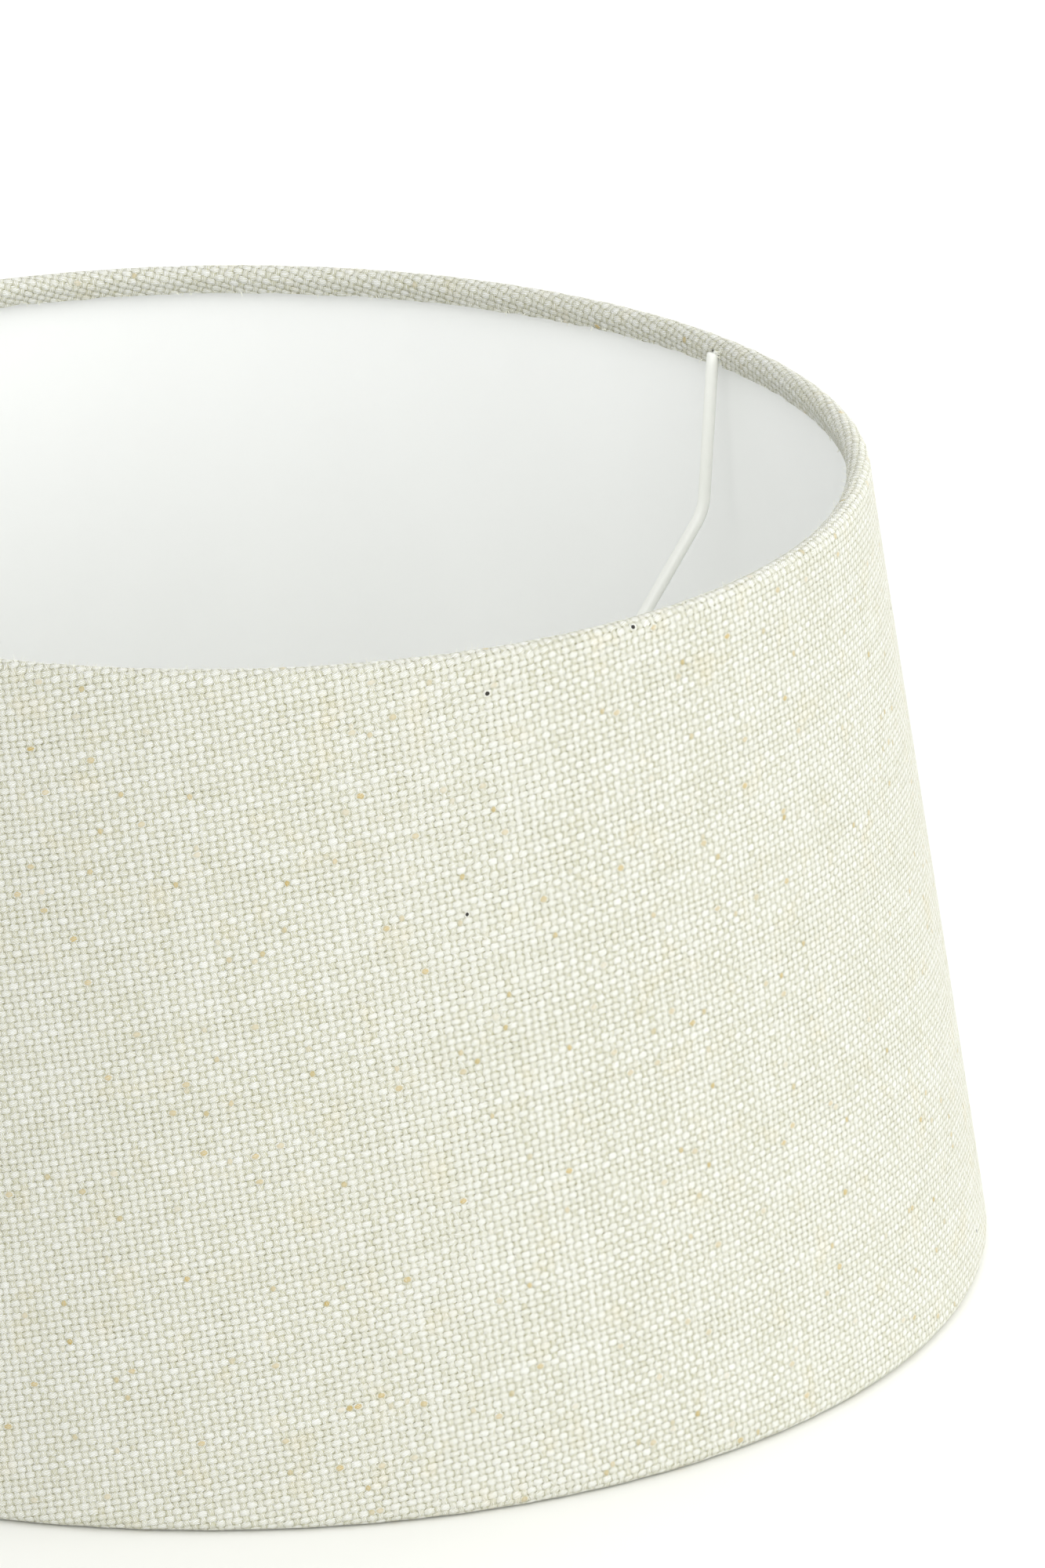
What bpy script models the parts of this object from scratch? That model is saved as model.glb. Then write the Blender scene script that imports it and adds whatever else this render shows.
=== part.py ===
"""Tapered hard-back lamp shade.

A linen cover is laminated on a PVC liner and rolled over two wire rings. Three bent wire arms
drop from the top ring to a flat fitter ring, which sits on the lampholder.

Metres, +Z up. The origin is on the shade's axis, at the level of the surface that it stands on.
A turn is an angle round the axis from +X, in radians.
"""

from math import atan2, cos, pi, radians, sin, tan

import bmesh
import bpy
from mathutils import Vector

# ---------------------------------------------------------------- driving dimensions

BOTTOM_DIAMETER = 0.300
TOP_DIAMETER = 0.250
HEIGHT = 0.160

FABRIC_THICKNESS = 0.0008
LINER_THICKNESS = 0.0004
TAPE_THICKNESS = 0.0002
HEM_DEPTH = 0.0052  # from the rim to the turned-in edge of the cloth

RING_WIRE_DIAMETER = 0.0025
ARM_WIRE_DIAMETER = 0.0025
ARM_COUNT = 3
FIRST_ARM_TURN = radians(30)

KNEE_DROP = 0.035  # from the rim down to the arm's upper bend
KNEE_INSET = 0.0022  # how far the arm leans in on the way to that bend
ARM_BEND_RADIUS = 0.010
FOOT_REACH = 0.011  # level run of the arm outside the fitter ring
FOOT_INSET = 0.0015  # from the fitter ring's hole to the arm's end

FITTER_TOP = 0.024  # height of the fitter ring's top face
FITTER_THICKNESS = 0.002
FITTER_HOLE_DIAMETER = 0.042
FITTER_BAND = 0.007  # width of the flat ring
FITTER_CHAMFER = 0.0003

SEAM_TURN = radians(144)  # middle of the side seam
SEAM_LAP = 0.012
SEAM_CLIMB = 0.008  # length over which the outer layer climbs onto the inner one
SEAM_TRIM = 0.008  # from each rim to the lap: its inner layer is trimmed off the rolled edge
SEAM_BUTT = 0.0005  # gap between edges that meet without a lap
TAPE_MARGIN = 0.0015  # from the lap's edges to the tape

CLEARANCE = 0.0003  # between pieces that touch
NOTCH_CLEARANCE = 0.0006  # each side of an arm, where the turned-in edge is cut for it

TURN_SEGMENTS = 72
ROLL_SEGMENTS = 3  # each side of the level strip on a rolled edge
LEVEL_HALF_ANGLE = radians(15)  # half of that strip, seen from the ring's centre
CLIMB_SEGMENTS = 3
WIRE_SEGMENTS = 8
BEND_SEGMENTS = 5

# ---------------------------------------------------------------- derived sizes

BOTTOM_RADIUS = BOTTOM_DIAMETER / 2
TOP_RADIUS = TOP_DIAMETER / 2
RING_WIRE_RADIUS = RING_WIRE_DIAMETER / 2
ARM_WIRE_RADIUS = ARM_WIRE_DIAMETER / 2
FITTER_HOLE_RADIUS = FITTER_HOLE_DIAMETER / 2
FITTER_RADIUS = FITTER_HOLE_RADIUS + FITTER_BAND
MIDDLE_RADIUS = (BOTTOM_RADIUS + TOP_RADIUS) / 2
TAPER = atan2(BOTTOM_RADIUS - TOP_RADIUS, HEIGHT)  # the wall's lean from upright

# The cloth's middle surface rolls round each ring at this radius, so that its flats clear the wire.
ROLL_RADIUS = (RING_WIRE_RADIUS + CLEARANCE + FABRIC_THICKNESS / 2) / cos(LEVEL_HALF_ANGLE)
# From a ring's centre line to the rim, which is level there.
ROLL_LEVEL = ROLL_RADIUS * cos(LEVEL_HALF_ANGLE) + FABRIC_THICKNESS / 2
BOTTOM_RING_HEIGHT = ROLL_LEVEL
TOP_RING_HEIGHT = HEIGHT - ROLL_LEVEL

# The outer layer of the lap lies this far outside the inner one, with the tape between them.
LAP_RISE = FABRIC_THICKNESS + TAPE_THICKNESS + 2 * CLEARANCE

UP = 1
DOWN = -1


def radius_inside_wall(height, depth):
    """Radius at a height of the cone that lies depth inside the cover's outer surface."""
    return BOTTOM_RADIUS - height * tan(TAPER) - depth / cos(TAPER)


BOTTOM_RING_RADIUS = radius_inside_wall(BOTTOM_RING_HEIGHT, ROLL_RADIUS + FABRIC_THICKNESS / 2)
TOP_RING_RADIUS = radius_inside_wall(TOP_RING_HEIGHT, ROLL_RADIUS + FABRIC_THICKNESS / 2)

FULL_TURN = 2 * pi
LAP_ANGLE = SEAM_LAP / MIDDLE_RADIUS
CLIMB_ANGLE = SEAM_CLIMB / MIDDLE_RADIUS
BUTT_ANGLE = SEAM_BUTT / TOP_RING_RADIUS
TAPE_MARGIN_ANGLE = TAPE_MARGIN / MIDDLE_RADIUS
SHEET_START = SEAM_TURN - LAP_ANGLE / 2
SHEET_TRIM = SHEET_START + LAP_ANGLE + BUTT_ANGLE  # where the sheet starts in the rolled edges
SHEET_CLIMBED = SHEET_START + FULL_TURN - BUTT_ANGLE  # where its end has climbed clear of its start
SHEET_END = SHEET_START + FULL_TURN + LAP_ANGLE

# The arm's upper end stands against the inside of the top ring, in a notch in the rolled cloth.
ARM_TOP_RADIUS = TOP_RING_RADIUS - RING_WIRE_RADIUS - CLEARANCE - ARM_WIRE_RADIUS
NOTCH_HALF_ANGLE = (ARM_WIRE_RADIUS + NOTCH_CLEARANCE) / ARM_TOP_RADIUS
ARM_TURNS = [FIRST_ARM_TURN + FULL_TURN * k / ARM_COUNT for k in range(ARM_COUNT)]

# ---------------------------------------------------------------- scene helpers


def clear_scene():
    """Remove every object that the file opened with."""
    for thing in list(bpy.data.objects):
        bpy.data.objects.remove(thing, do_unlink=True)


def make_material(name, colour, roughness, metallic=0.0):
    """Return a Principled material."""
    material = bpy.data.materials.new(name)
    material.use_nodes = True
    shader = material.node_tree.nodes["Principled BSDF"]
    shader.inputs["Base Color"].default_value = (*colour, 1.0)
    shader.inputs["Roughness"].default_value = roughness
    shader.inputs["Metallic"].default_value = metallic
    material.diffuse_color = (*colour, 1.0)
    return material


def shade_round(mesh):
    """Shade a mesh smooth, but keep its real edges sharp."""
    mesh.shade_smooth()
    mesh.set_sharp_from_angle(angle=radians(40))


def add_piece(name, data, material, shade):
    """Add a mesh or curve to the shade as a named object with a material of its own."""
    if not data.materials:
        data.materials.append(material)
    piece = bpy.data.objects.new(name, data)
    shade.users_collection[0].objects.link(piece)
    piece.parent = shade
    return piece


def start_shade():
    """Return the empty that carries the whole shade, in a collection named for it."""
    collection = bpy.data.collections.new("lamp_shade")
    bpy.context.scene.collection.children.link(collection)
    shade = bpy.data.objects.new("shade_axis", None)
    shade.empty_display_size = 0.02
    collection.objects.link(shade)
    return shade


# ---------------------------------------------------------------- sheets rolled into a cone


class Row:
    """A line round a sheet's middle surface: its radius, its height and the band it bounds."""

    def __init__(self, radius, height, band):
        self.radius = radius
        self.height = height
        self.band = band


def spread(first, last, count):
    """Return count + 1 even steps from first to last."""
    return [first + (last - first) * k / count for k in range(count + 1)]


def shared_turns(start, end, own=()):
    """Turns from start to end: a sheet's own lines, and the facet lines that all round pieces share."""
    step = FULL_TURN / TURN_SEGMENTS
    lines = [k * step for k in range(int(start / step), int(end / step) + 1)]
    own = [start, end, *(turn for turn in own if start < turn < end)]
    near = BUTT_ANGLE / 2
    kept = [line for line in lines if start < line < end and all(abs(line - t) > near for t in own)]
    return sorted(own + kept)


def roll_sheet(name, turns, rows, rise, keep):
    """Mesh a flat sheet as a grid of turns by rows, cut cells out of it, and roll it up.

    rise(turn, row) is how far the sheet stands outside its row there, and keep(turn, row, next_row)
    says whether the cell round that turn, between those rows, is part of the sheet.
    """
    columns = len(turns) - 1
    strips = len(rows) - 1
    bm = bmesh.new()
    bmesh.ops.create_grid(bm, x_segments=columns, y_segments=strips, size=0.5)
    waste = []
    for face in bm.faces:
        centre = face.calc_center_median()
        column = int((centre.x + 0.5) * columns)
        strip = int((centre.y + 0.5) * strips)
        middle = (turns[column] + turns[column + 1]) / 2
        if not keep(middle, rows[strip], rows[strip + 1]):
            waste.append(face)
    bmesh.ops.delete(bm, geom=waste, context="FACES")
    for vertex in bm.verts:
        turn = turns[round((vertex.co.x + 0.5) * columns)]
        row = rows[round((vertex.co.y + 0.5) * strips)]
        out = rise(turn, row)
        radius = row.radius + out * cos(TAPER)
        vertex.co = (radius * cos(turn), radius * sin(turn), row.height + out * sin(TAPER))
    mesh = bpy.data.meshes.new(name)
    bm.to_mesh(mesh)
    bm.free()
    shade_round(mesh)
    return mesh


def thicken(sheet, thickness):
    """Give an open sheet its thickness, half to each side."""
    solidify = sheet.modifiers.new("thickness", "SOLIDIFY")
    solidify.thickness = thickness
    solidify.offset = 0
    solidify.use_even_offset = True


def rolled_edge(ring_radius, ring_height, side):
    """Rows of cloth round a ring, from the wall to the turned-in edge. side is UP or DOWN."""
    level = side * pi / 2
    outer = spread(TAPER, level - side * LEVEL_HALF_ANGLE, ROLL_SEGMENTS)
    inner = spread(level + side * LEVEL_HALF_ANGLE, side * pi + TAPER, ROLL_SEGMENTS)
    rows = []
    for angle in outer + inner:
        radius = ring_radius + ROLL_RADIUS * cos(angle)
        rows.append(Row(radius, ring_height + ROLL_RADIUS * sin(angle), "roll"))
    for row in rows[-2:]:
        row.band = "hem"
    edge_height = HEIGHT - HEM_DEPTH if side == UP else HEM_DEPTH
    drop = rows[-1].height - edge_height
    rows.append(Row(rows[-1].radius + drop * tan(TAPER), edge_height, "hem"))
    return rows


def build_cover(material, shade):
    """Linen sheet: rolled over both rings, notched for the arms and lapped along the side seam."""
    wall = []
    for height in (SEAM_TRIM, HEIGHT - SEAM_TRIM):
        wall.append(Row(radius_inside_wall(height, FABRIC_THICKNESS / 2), height, "lap"))
    bottom = rolled_edge(BOTTOM_RING_RADIUS, BOTTOM_RING_HEIGHT, DOWN)
    top = rolled_edge(TOP_RING_RADIUS, TOP_RING_HEIGHT, UP)
    rows = bottom[::-1] + wall + top

    own = [SHEET_TRIM, *spread(SHEET_CLIMBED - CLIMB_ANGLE, SHEET_CLIMBED, CLIMB_SEGMENTS)]
    notches = [turn + FULL_TURN * (turn < SHEET_START) for turn in ARM_TURNS]
    for turn in notches:
        own += [turn - NOTCH_HALF_ANGLE, turn, turn + NOTCH_HALF_ANGLE]

    def rise(turn, row):
        if row.band != "lap":
            return 0
        share = (turn - SHEET_CLIMBED) / CLIMB_ANGLE + 1
        share = min(max(share, 0), 1)
        return LAP_RISE * share * share * (3 - 2 * share)

    def keep(turn, row, next_row):
        bands = {row.band, next_row.band}
        if turn < SHEET_TRIM and bands != {"lap"}:
            return False
        if bands == {"hem"} and row.height > HEIGHT / 2:
            return all(abs(turn - notch) > NOTCH_HALF_ANGLE for notch in notches)
        return True

    turns = shared_turns(SHEET_START, SHEET_END, own)
    mesh = roll_sheet("fabric_cover", turns, rows, rise, keep)
    thicken(add_piece("fabric_cover", mesh, material, shade), FABRIC_THICKNESS)


def build_liner(material, shade):
    """PVC sheet inside the cover, from ring to ring, whose ends butt under the seam."""
    depth = FABRIC_THICKNESS + CLEARANCE + LINER_THICKNESS / 2
    reach = RING_WIRE_RADIUS + CLEARANCE
    rows = []
    for height in (BOTTOM_RING_HEIGHT + reach, TOP_RING_HEIGHT - reach):
        rows.append(Row(radius_inside_wall(height, depth), height, "wall"))
    turns = shared_turns(SEAM_TURN + BUTT_ANGLE / 2, SEAM_TURN + FULL_TURN - BUTT_ANGLE / 2)
    mesh = roll_sheet("pvc_liner", turns, rows, lambda *_: 0, lambda *_: True)
    thicken(add_piece("pvc_liner", mesh, material, shade), LINER_THICKNESS)


def build_seam_tape(material, shade):
    """Double-sided tape between the two layers of the lap."""
    rise = FABRIC_THICKNESS / 2 + CLEARANCE + TAPE_THICKNESS / 2
    rows = []
    for height in (SEAM_TRIM + TAPE_MARGIN, HEIGHT - SEAM_TRIM - TAPE_MARGIN):
        rows.append(Row(radius_inside_wall(height, FABRIC_THICKNESS / 2), height, "lap"))
    start = SHEET_START + TAPE_MARGIN_ANGLE
    turns = shared_turns(start, start + LAP_ANGLE - 2 * TAPE_MARGIN_ANGLE)
    mesh = roll_sheet("seam_tape", turns, rows, lambda *_: rise, lambda *_: True)
    thicken(add_piece("seam_tape", mesh, material, shade), TAPE_THICKNESS)


# ---------------------------------------------------------------- wire frame


def build_ring(name, radius, height, material, shade):
    """Wire ring inside a rolled edge."""
    bpy.ops.mesh.primitive_torus_add(
        major_segments=TURN_SEGMENTS,
        minor_segments=WIRE_SEGMENTS,
        major_radius=radius,
        minor_radius=RING_WIRE_RADIUS,
    )
    made = bpy.context.object
    shade_round(made.data)
    ring = add_piece(name, made.data, material, shade)
    ring.location.z = height
    ring.data.name = name
    bpy.data.objects.remove(made)


def round_corner(before, corner, after, bend_radius):
    """Points of the arc that replaces a corner of a wire's centre line."""
    back = (before - corner).normalized()
    ahead = (after - corner).normalized()
    half = back.angle(ahead) / 2
    middle = corner + (back + ahead).normalized() * bend_radius / sin(half)
    first = (corner + back * bend_radius / tan(half) - middle).normalized()
    last = (corner + ahead * bend_radius / tan(half) - middle).normalized()
    directions = [first.slerp(last, k / BEND_SEGMENTS) for k in range(BEND_SEGMENTS + 1)]
    return [middle + direction * bend_radius for direction in directions]


def build_arms(material, shade):
    """Bent wire arms: down the inside of the wall, in to the fitter ring, and level onto it."""
    foot_height = FITTER_TOP + CLEARANCE + ARM_WIRE_RADIUS
    end = Vector((ARM_TOP_RADIUS, 0, TOP_RING_HEIGHT))
    knee = Vector((ARM_TOP_RADIUS - KNEE_INSET, 0, HEIGHT - KNEE_DROP))
    heel = Vector((FITTER_RADIUS + FOOT_REACH, 0, foot_height))
    toe = Vector((FITTER_HOLE_RADIUS + FOOT_INSET, 0, foot_height))
    route = [end]
    route += round_corner(end, knee, heel, ARM_BEND_RADIUS)
    route += round_corner(knee, heel, toe, ARM_BEND_RADIUS)
    route.append(toe)

    wire = bpy.data.curves.new("arm", "CURVE")
    wire.dimensions = "3D"
    wire.bevel_depth = ARM_WIRE_RADIUS
    wire.bevel_resolution = WIRE_SEGMENTS // 2 - 2
    wire.use_fill_caps = True
    spline = wire.splines.new("POLY")
    spline.points.add(len(route) - 1)
    for point, place in zip(spline.points, route):
        point.co = (*place, 1)
    for number, turn in enumerate(ARM_TURNS, start=1):
        arm = add_piece(f"arm_{number}", wire, material, shade)
        arm.rotation_euler.z = turn


def build_fitter_ring(material, shade):
    """Flat steel ring that the lampholder clamps, turned from a chamfered section."""
    inner, outer = FITTER_HOLE_RADIUS, FITTER_RADIUS
    low, high = -FITTER_THICKNESS, 0
    cut = FITTER_CHAMFER
    section = [
        (inner, high - cut),
        (inner + cut, high),
        (outer - cut, high),
        (outer, high - cut),
        (outer, low + cut),
        (outer - cut, low),
        (inner + cut, low),
        (inner, low + cut),
    ]
    count = len(section)
    mesh = bpy.data.meshes.new("fitter_ring")
    mesh.from_pydata(
        [(radius, 0, height) for radius, height in section],
        [(k, (k + 1) % count) for k in range(count)],
        [],
    )
    ring = add_piece("fitter_ring", mesh, material, shade)
    ring.location.z = FITTER_TOP
    screw = ring.modifiers.new("turn", "SCREW")
    screw.steps = TURN_SEGMENTS
    screw.render_steps = TURN_SEGMENTS
    screw.use_merge_vertices = True
    screw.merge_threshold = CLEARANCE / 10


def build_shade():
    """Build the lamp shade, piece by piece."""
    clear_scene()
    shade = start_shade()
    build_cover(make_material("linen", (0.78, 0.78, 0.68), 0.9), shade)
    build_liner(make_material("white_pvc", (0.90, 0.91, 0.89), 0.5), shade)
    build_seam_tape(make_material("clear_tape", (0.85, 0.83, 0.74), 0.35), shade)
    ring_steel = make_material("coated_ring_wire", (0.84, 0.84, 0.81), 0.4)
    build_ring("top_ring", TOP_RING_RADIUS, TOP_RING_HEIGHT, ring_steel, shade)
    build_ring("bottom_ring", BOTTOM_RING_RADIUS, BOTTOM_RING_HEIGHT, ring_steel, shade)
    build_arms(make_material("coated_arm_wire", (0.86, 0.86, 0.82), 0.35), shade)
    build_fitter_ring(make_material("coated_plate", (0.86, 0.86, 0.82), 0.4), shade)


build_shade()
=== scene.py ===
"""Looks of a tapered linen lamp shade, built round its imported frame.

Sizes that the frame fixes are read from its nodes. The linen, its lining, the wires and their welds
are modelled again in full detail, each as a piece of its own that stands for its plain solid.
"""

import logging
from dataclasses import dataclass, replace
from enum import Enum
from math import atan2, cos, pi, radians, sin, tan
from typing import Any, Iterable, Sequence

import bpy
import numpy as np
from mathutils import Matrix, Vector


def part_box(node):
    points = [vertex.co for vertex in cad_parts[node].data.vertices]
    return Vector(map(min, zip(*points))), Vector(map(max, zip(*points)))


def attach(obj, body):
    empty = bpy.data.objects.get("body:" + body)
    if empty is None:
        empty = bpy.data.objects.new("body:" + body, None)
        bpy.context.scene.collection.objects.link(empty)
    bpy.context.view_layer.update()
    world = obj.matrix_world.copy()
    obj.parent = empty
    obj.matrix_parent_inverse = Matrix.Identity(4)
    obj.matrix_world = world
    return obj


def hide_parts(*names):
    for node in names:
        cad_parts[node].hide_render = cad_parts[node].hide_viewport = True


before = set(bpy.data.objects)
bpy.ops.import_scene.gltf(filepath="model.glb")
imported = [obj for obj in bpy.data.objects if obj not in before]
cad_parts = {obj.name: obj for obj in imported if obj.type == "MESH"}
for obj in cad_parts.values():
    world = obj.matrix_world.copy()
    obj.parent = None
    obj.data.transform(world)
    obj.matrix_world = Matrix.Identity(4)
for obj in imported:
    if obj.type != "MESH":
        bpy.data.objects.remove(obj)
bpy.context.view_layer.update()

log = logging.getLogger("lamp_shade")

MM = 0.001
FULL_TURN = 2 * pi
SHARP_ANGLE = radians(60)  # an edge that turns more than this looks sharp
BODY = "root"
FLAT_MAP = "flat_cut"  # where each point lay on the flat cloth, in metres
BAKE_MAP = "OFBake"  # an even spread of the sheet over a square
CLAMPED = "CLAMPED_"  # starts the name of an operation whose result is kept from nought to one

# ---------------------------------------------------------------- shader helpers


def linear_colour(code: str) -> tuple[float, float, float, float]:
    """Turn an sRGB colour into the linear one that shaders take.

    Args:
        code: Six hex digits, red first.

    Returns:
        Linear red, green and blue, and an alpha of one.
    """
    channels = [int(code[k : k + 2], 16) / 255 for k in (0, 2, 4)]
    linear = [c / 12.92 if c <= 0.04045 else ((c + 0.055) / 1.055) ** 2.4 for c in channels]
    return (*linear, 1.0)


def add_node(
    tree: bpy.types.NodeTree, kind: str, inputs: dict[str | int, Any] | None = None, **settings: Any
) -> bpy.types.Node:
    """Add a shader node with its settings, and fill or link its inputs.

    Args:
        tree: The material's or world's node tree.
        kind: The node's type.
        inputs: Values, sockets or nodes for its inputs, by name or number. A node gives its first output.
        settings: The node's own settings.

    Returns:
        The new node.
    """
    node = tree.nodes.new(kind)
    for name, value in settings.items():
        setattr(node, name, value)
    for name, value in (inputs or {}).items():
        if isinstance(value, bpy.types.Node):
            value = value.outputs[0]
        if isinstance(value, bpy.types.NodeSocket):
            tree.links.new(value, node.inputs[name])
        else:
            node.inputs[name].default_value = value
    return node


def add_formula(
    tree: bpy.types.NodeTree, known: dict[str, bpy.types.NodeSocket], lines: Iterable[tuple]
) -> None:
    """Add the nodes of a formula, a line for each step.

    Args:
        tree: The material's node tree.
        known: Named values so far. Each line adds its own.
        lines: For each step its name, its operation, and its terms as names or numbers.
    """
    for name, operation, *terms in lines:
        inputs = {k: known.get(term, term) for k, term in enumerate(terms)}
        kind, clamp = operation.removeprefix(CLAMPED), operation.startswith(CLAMPED)
        known[name] = add_node(tree, "ShaderNodeMath", inputs, operation=kind, use_clamp=clamp).outputs[0]


# ---------------------------------------------------------------- finishes


@dataclass(frozen=True)
class Finish:
    """A material and how its surface was made. The values here are the same all over it."""

    name: str
    ior: float = 1.5
    metallic: float = 0.0
    sheen: float = 0.0
    coat: float = 0.0

    def surface(self, tree: bpy.types.NodeTree) -> dict[str, Any]:
        """Return the shader's inputs that vary over the surface."""
        raise NotImplementedError

    def make(self) -> bpy.types.Material:
        """Make the material.

        Returns:
            A material with one Principled shader.
        """
        material = bpy.data.materials.new(self.name)
        material.use_nodes = True
        tree = material.node_tree
        tree.nodes.clear()
        even = {
            "IOR": self.ior,
            "Metallic": self.metallic,
            "Sheen Weight": self.sheen,
            "Coat Weight": self.coat,
        }
        shader = add_node(tree, "ShaderNodeBsdfPrincipled", even | self.surface(tree))
        add_node(tree, "ShaderNodeOutputMaterial", {"Surface": shader})
        return material


@dataclass(frozen=True)
class PlainWeaveLinen(Finish):
    """Undyed flax in a plain weave, singed and pressed.

    Plump weft floats and shorter warp floats alternate like bricks, with small gaps where four meet,
    painted dark olive as shade. Each yarn swells and thins along its length and has its own shade, its
    strands run slantwise, and bits of bast stand out in ochre. Painted shade also darkens the creases
    where one yarn dives under the other, and painted light brightens the crowns of the floats and the
    crests of the strands, with painted shade in their troughs. Heights go from nought in a gap to one on
    a float, and tones from nought, the yarn's shade, to one, its light.
    """

    warp_pitch: float = 1.55 * MM
    weft_pitch: float = 1.20 * MM
    warp_width: float = 1.08 * MM
    weft_width: float = 1.12 * MM
    skew: float = radians(1.4)
    relief: float = 0.30 * MM
    strand_relief: float = 0.16  # as a share of the relief
    strand_pitch: float = 0.29 * MM  # coarser than flax strands, which are too fine to show
    strand_slant: float = radians(18)
    strand_stray: float = 1.0  # how many pitches the strands bend aside
    wander: float = 9 * MM  # how far apart the yarns drift one way and the other
    drift: float = 0.40  # of a pitch
    slub: float = 0.24  # how much a yarn's width changes
    slub_rate: float = 0.17  # how soon it changes, for each crossing
    slub_step: float = 7.31  # sets each yarn's slubs apart from the next one's
    cloud: float = 14 * MM
    fray: float = 0.55 * MM  # how far apart the strands part and close
    # Painted shade in the gaps: between these heights the colour goes from the gap's dark olive to the
    # yarn's.
    gap_height: float = -0.25  # where only the gap's colour shows
    yarn_height: float = 0.22  # where only the yarn's does
    # Painted shade in the creases where one yarn dives under the other:
    crease_shade_width: float = 0.14  # as a difference between the two yarns' heights
    crease_shade_floor: float = 0.40  # how much light is left in a crease between two warps
    level_crease_shade: float = 0.30  # a level crease's depth, as a share of an upright one's
    upright_rise: float = 2.7  # how soon a level crease turns into an upright one
    corner_crease_shade: float = 0.67  # the depth at a float's corner, as that share
    # Painted shade: the dark olive that the gaps, and the creases at their deepest, take in place of the
    # yarn's colour.
    gap: str = "6e6d56"
    shade: str = "aeac8b"
    light: str = "e7e8e6"
    bast: str = "d4b24a"  # the colour that a bit of bast gives the yarn
    tan: str = "fff1cd"  # and that a stain gives it
    speck: str = "2a2620"
    base_tone: float = -0.37  # the tone before all that follows
    yarn_tone: float = 0.15
    weft_tone: float = 0.15
    float_tone: float = 0.10
    bright_tone: float = 0.08
    bright_power: float = 3.0  # the higher, the fewer bright floats
    cloud_tone: float = 0.10
    painted_strand_light: float = 0.90
    fluff_tone: float = 0.70
    painted_crown_light: float = 0.42
    bast_share: float = 0.016  # of the floats
    bast_power: float = 0.8  # the higher, the more faint bits
    bast_height: float = 0.50  # where a bit of bast starts
    bast_rise: float = 6.0  # how sharp its edge is
    bast_split: float = 1.8  # how much the strands part it
    bast_body: float = 0.7  # and how much of it stays whole
    stain_start: float = 0.60
    stain_rise: float = 1.2
    speck_share: float = 0.0001  # of the floats
    speck_height: float = 0.80
    roughness: float = 0.95
    roughness_change: float = -0.10  # from the yarn's shade to its light

    def grid_lines(self) -> list[tuple]:
        """Return the formula of where a point lies among the yarns.

        Returns:
            Lines that give the number of its warp and of its weft, how far a and b it lies from their
            middles, side, which is one where the warp is up, and where to look up the yarns' slubs.
        """
        return [
            ("u", "MULTIPLY_ADD", "y", -tan(self.skew), "x"),
            ("v", "MULTIPLY_ADD", "x", -tan(self.skew), "y"),
            ("u", "DIVIDE", "u", self.warp_pitch),
            ("v", "DIVIDE", "v", self.weft_pitch),
            ("u", "MULTIPLY_ADD", "drift_u", self.drift, "u"),
            ("v", "MULTIPLY_ADD", "drift_v", self.drift, "v"),
            ("warp", "FLOOR", "u"),
            ("weft", "FLOOR", "v"),
            ("a", "FRACT", "u"),
            ("a", "SUBTRACT", "a", 0.5),
            ("b", "FRACT", "v"),
            ("b", "SUBTRACT", "b", 0.5),
            ("side", "ADD", "warp", "weft"),
            ("side", "FLOORED_MODULO", "side", 2.0),
            ("side", "MULTIPLY_ADD", "side", -2.0, 1.0),
            ("warp_spot", "MULTIPLY", "warp", self.slub_step),
            ("warp_run", "MULTIPLY", "v", self.slub_rate),
            ("weft_spot", "MULTIPLY", "weft", self.slub_step),
            ("weft_run", "MULTIPLY", "u", self.slub_rate),
        ]

    def yarn_lines(self, yarn: str, along: str, across: str, over: float, width: float) -> list[tuple]:
        """Return the formula of one set of yarns.

        Args:
            yarn: Its name.
            along: Where the point lies between crossings, along the yarn.
            across: Where it lies across the yarn.
            over: One for the set that is up where side is up, or minus one.
            width: The yarn's width, as a share of its pitch.

        Returns:
            Lines that give the yarn's height.
        """
        half = width / 2
        return [
            (f"{yarn}_half", "MULTIPLY_ADD", f"{yarn}_swell", 2 * self.slub * half, half * (1 - self.slub)),
            (f"{yarn}_round", "DIVIDE", across, f"{yarn}_half"),
            (f"{yarn}_round", "MULTIPLY", f"{yarn}_round", f"{yarn}_round"),
            (f"{yarn}_round", "SUBTRACT", 1.0, f"{yarn}_round"),
            (f"{yarn}_wave", "MULTIPLY", along, pi),
            (f"{yarn}_wave", "COSINE", f"{yarn}_wave"),
            (f"{yarn}_wave", "MULTIPLY", f"{yarn}_wave", "side"),
            (f"{yarn}_height", "MULTIPLY_ADD", f"{yarn}_wave", over, f"{yarn}_round"),
            (f"{yarn}_height", "MULTIPLY", f"{yarn}_height", 0.5),
        ]

    def height_lines(self) -> list[tuple]:
        """Return the formula of the cloth's height.

        Returns:
            Lines that give the height, which yarn is up, how far apart the two lie, and how deep the
            painted shade of a crease between them would be.
        """
        return [
            *self.yarn_lines("warp", "b", "a", 1.0, self.warp_width / self.warp_pitch),
            *self.yarn_lines("weft", "a", "b", -1.0, self.weft_width / self.weft_pitch),
            ("height", "MAXIMUM", "warp_height", "weft_height"),
            ("up", "MAXIMUM", "height", 0.0),
            ("is_weft", "GREATER_THAN", "weft_height", "warp_height"),
            ("apart", "SUBTRACT", "weft_height", "warp_height"),
            ("apart", "ABSOLUTE", "apart"),
            # Warps lie apart and wefts lie close, so the upright creases are the deep ones and take the
            # deepest painted shade.
            ("beside", "ABSOLUTE", "a"),
            ("above", "ABSOLUTE", "b"),
            ("upright", "SUBTRACT", "beside", "above"),
            ("upright", "CLAMPED_MULTIPLY_ADD", "upright", self.upright_rise, self.corner_crease_shade),
            ("upright", "MAXIMUM", "upright", self.level_crease_shade),
        ]

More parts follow.
